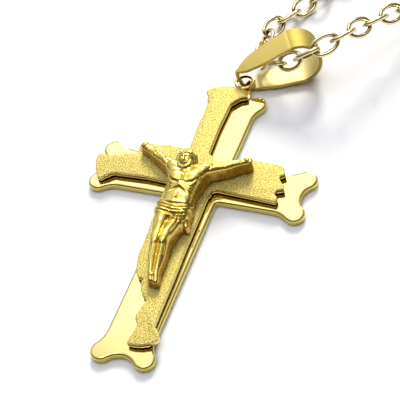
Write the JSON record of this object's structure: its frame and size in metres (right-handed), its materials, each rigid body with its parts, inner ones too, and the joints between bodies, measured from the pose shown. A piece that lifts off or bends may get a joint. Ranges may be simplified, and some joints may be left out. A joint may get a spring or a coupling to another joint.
{
  "type": "cross necklace",
  "caption": "Two-layer flared cross with a small cast figure in relief, hung by a soldered ring and a teardrop bail on a full-length chain of oval links.",
  "frame": {"origin": "middle of the crossing, on the underside of the back plate, which lies on the table", "axes": "+X along the arm at the viewer's right, +Y towards the ring at the top of the cross, +Z out of the front face"},
  "size_m": [0.1783, 0.2548, 0.0086],
  "materials": {
    "polished_gold": "mirror polish, gold plated steel",
    "grained_gold": "sandblasted top, gold plated steel",
    "satin_gold": "satin, gold plated steel",
    "pale_gold": "polished, pale gold plated steel wire"
  },
  "bodies": {
    "root": {"back_plate": "polished_gold", "front_plate": "grained_gold", "figure": "polished_gold", "bail": "satin_gold", "chain": "pale_gold", "clasp": "pale_gold"}
  },
  "joints": []
}
